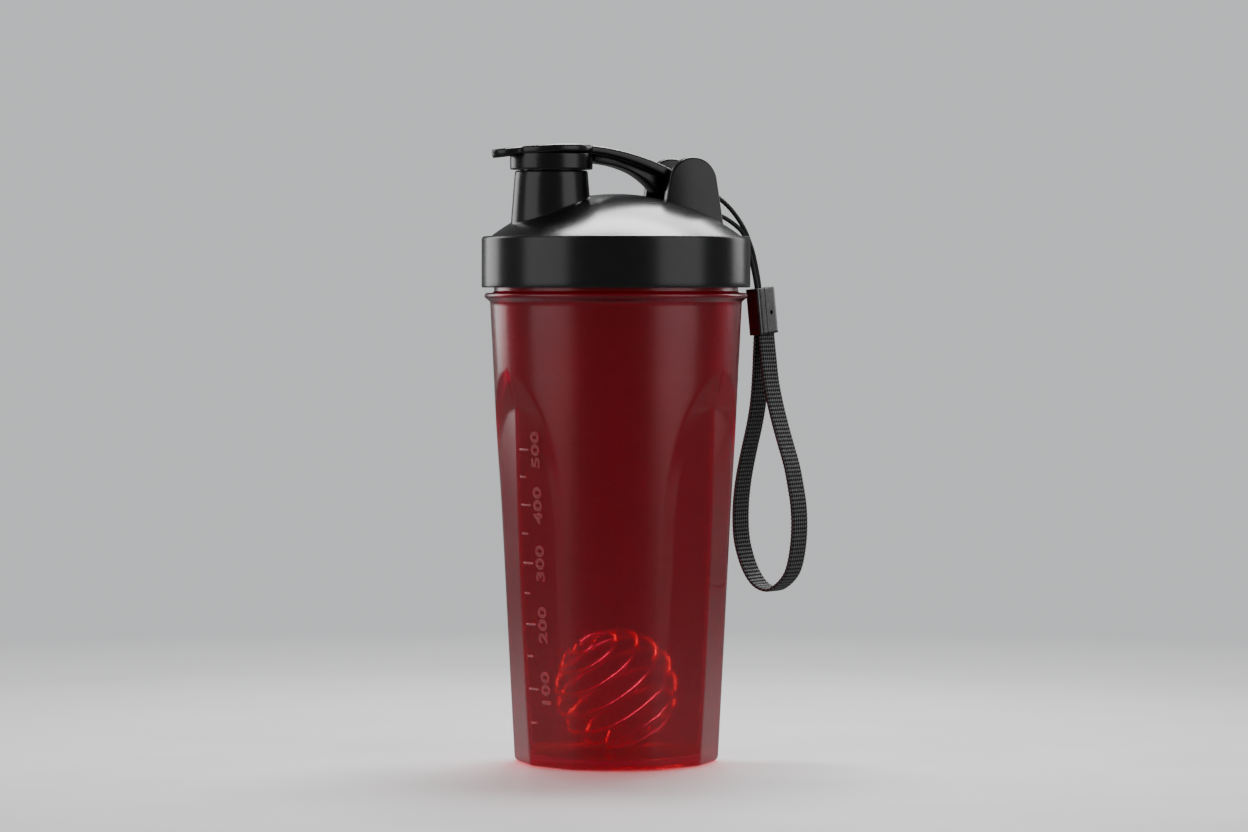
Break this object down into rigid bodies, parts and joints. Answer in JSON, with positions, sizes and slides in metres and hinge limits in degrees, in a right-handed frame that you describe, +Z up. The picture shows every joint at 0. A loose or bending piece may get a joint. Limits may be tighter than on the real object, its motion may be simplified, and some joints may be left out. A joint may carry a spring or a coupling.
{
  "type": "shaker bottle",
  "caption": "Tapered translucent shaker cup with sunk side panels, domed screw lid, hinged flip cap over the spout, loose wire whisk ball and a wrist strap.",
  "frame": {"origin": "centre of the cup's base, on the cup's axis, at the level that it stands on", "axes": "+Z up along the cup's axis, +X towards the hinge of the flip cap and the wrist strap, -X towards the spout"},
  "size_m": [0.1215, 0.099, 0.2272],
  "materials": {
    "cup_plastic": "frosted translucent",
    "lid_plastic": "fine satin",
    "cap_plastic": "semi-gloss",
    "silicone": "matt",
    "pin_steel": "polished",
    "whisk_steel": "polished",
    "cord_braid": "braided",
    "clasp_metal": "black nickel",
    "webbing": "woven"
  },
  "bodies": {
    "cup_body": {"cup": "cup_plastic"},
    "lid_carrier": {"lid_gasket": "silicone"},
    "lid": {"lid_shell": "lid_plastic", "hinge_pin": "pin_steel"},
    "cap": {"flip_cap": "cap_plastic", "cap_seal": "silicone"},
    "ball": {"whisk_ball": "whisk_steel"},
    "strap": {"strap_cord": "cord_braid", "strap_clasp": "clasp_metal", "strap_webbing": "webbing"}
  },
  "joints": [
    {"name": "lid_lift", "type": "slide", "parent": "cup_body", "child": "lid_carrier", "axis": [0, 0, 1], "range_m": [0, 0.02405]},
    {"name": "lid_turn", "type": "hinge", "parent": "lid_carrier", "child": "lid", "pos_m": [0, 0, 0.19], "axis": [0, 0, 1], "range_deg": [0, 1080]},
    {"name": "cap_flip", "type": "hinge", "parent": "lid", "child": "cap", "pos_m": [0.0256, 0, 0.2135], "axis": [0, 1, 0], "range_deg": [0, 115]},
    {"name": "ball_lift", "type": "slide", "parent": "cup_body", "child": "ball", "axis": [0, 0, 1], "range_m": [0, 0.125]},
    {"name": "strap_swing", "type": "hinge", "parent": "lid", "child": "strap", "pos_m": [0.0335, 0, 0.207], "axis": [0, -1, 0], "range_deg": [0, 70]}
  ],
  "couplings": [
    {"joint": "lid_lift", "follows": "lid_turn", "m_per_rad": 0.0012732}
  ]
}
